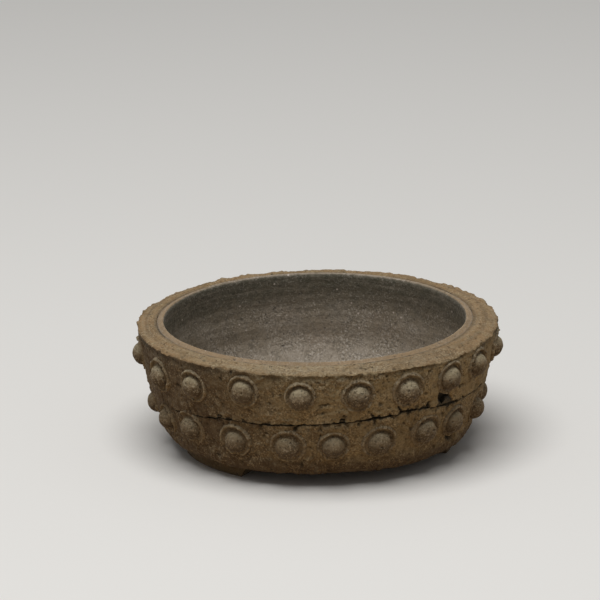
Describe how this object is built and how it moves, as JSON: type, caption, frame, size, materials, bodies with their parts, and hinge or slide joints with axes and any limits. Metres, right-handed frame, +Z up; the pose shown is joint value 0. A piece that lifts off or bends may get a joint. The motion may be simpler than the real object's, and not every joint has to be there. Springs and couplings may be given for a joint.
{
  "type": "ikebana suiban",
  "caption": "Small round unglazed stoneware flower bowl, a thrown bowl clad in two slab bands with pressed-on studs and a cut foot ring.",
  "frame": {"origin": "on the table, under the middle of the bowl", "axes": "+Z up along the bowl's axis, -Y towards the front that the picture shows, +X to the viewer's right"},
  "size_m": [0.0926, 0.0928, 0.0327],
  "materials": {
    "bowl_clay": "matte",
    "band_clay": "matte",
    "stud_clay": "matte",
    "foot_clay": "matte"
  },
  "bodies": {
    "root": {"inner_bowl": "bowl_clay", "upper_band": "band_clay", "lower_band": "band_clay", "front_left_foot": "foot_clay", "right_foot": "foot_clay", "back_foot": "foot_clay", "upper_stud_01": "stud_clay", "upper_stud_02": "stud_clay", "upper_stud_03": "stud_clay", "upper_stud_04": "stud_clay", "upper_stud_05": "stud_clay", "upper_stud_06": "stud_clay", "upper_stud_07": "stud_clay", "upper_stud_08": "stud_clay", "upper_stud_09": "stud_clay", "upper_stud_10": "stud_clay", "upper_stud_11": "stud_clay", "upper_stud_12": "stud_clay", "upper_stud_13": "stud_clay", "upper_stud_14": "stud_clay", "upper_stud_15": "stud_clay", "upper_stud_16": "stud_clay", "upper_stud_17": "stud_clay", "upper_stud_18": "stud_clay", "upper_stud_19": "stud_clay", "lower_stud_01": "stud_clay", "lower_stud_02": "stud_clay", "lower_stud_03": "stud_clay", "lower_stud_04": "stud_clay", "lower_stud_05": "stud_clay", "lower_stud_06": "stud_clay", "lower_stud_07": "stud_clay", "lower_stud_08": "stud_clay", "lower_stud_09": "stud_clay", "lower_stud_10": "stud_clay", "lower_stud_11": "stud_clay", "lower_stud_12": "stud_clay", "lower_stud_13": "stud_clay", "lower_stud_14": "stud_clay", "lower_stud_15": "stud_clay", "lower_stud_16": "stud_clay", "lower_stud_17": "stud_clay", "lower_stud_18": "stud_clay", "lower_stud_19": "stud_clay", "lower_stud_20": "stud_clay"}
  },
  "joints": []
}
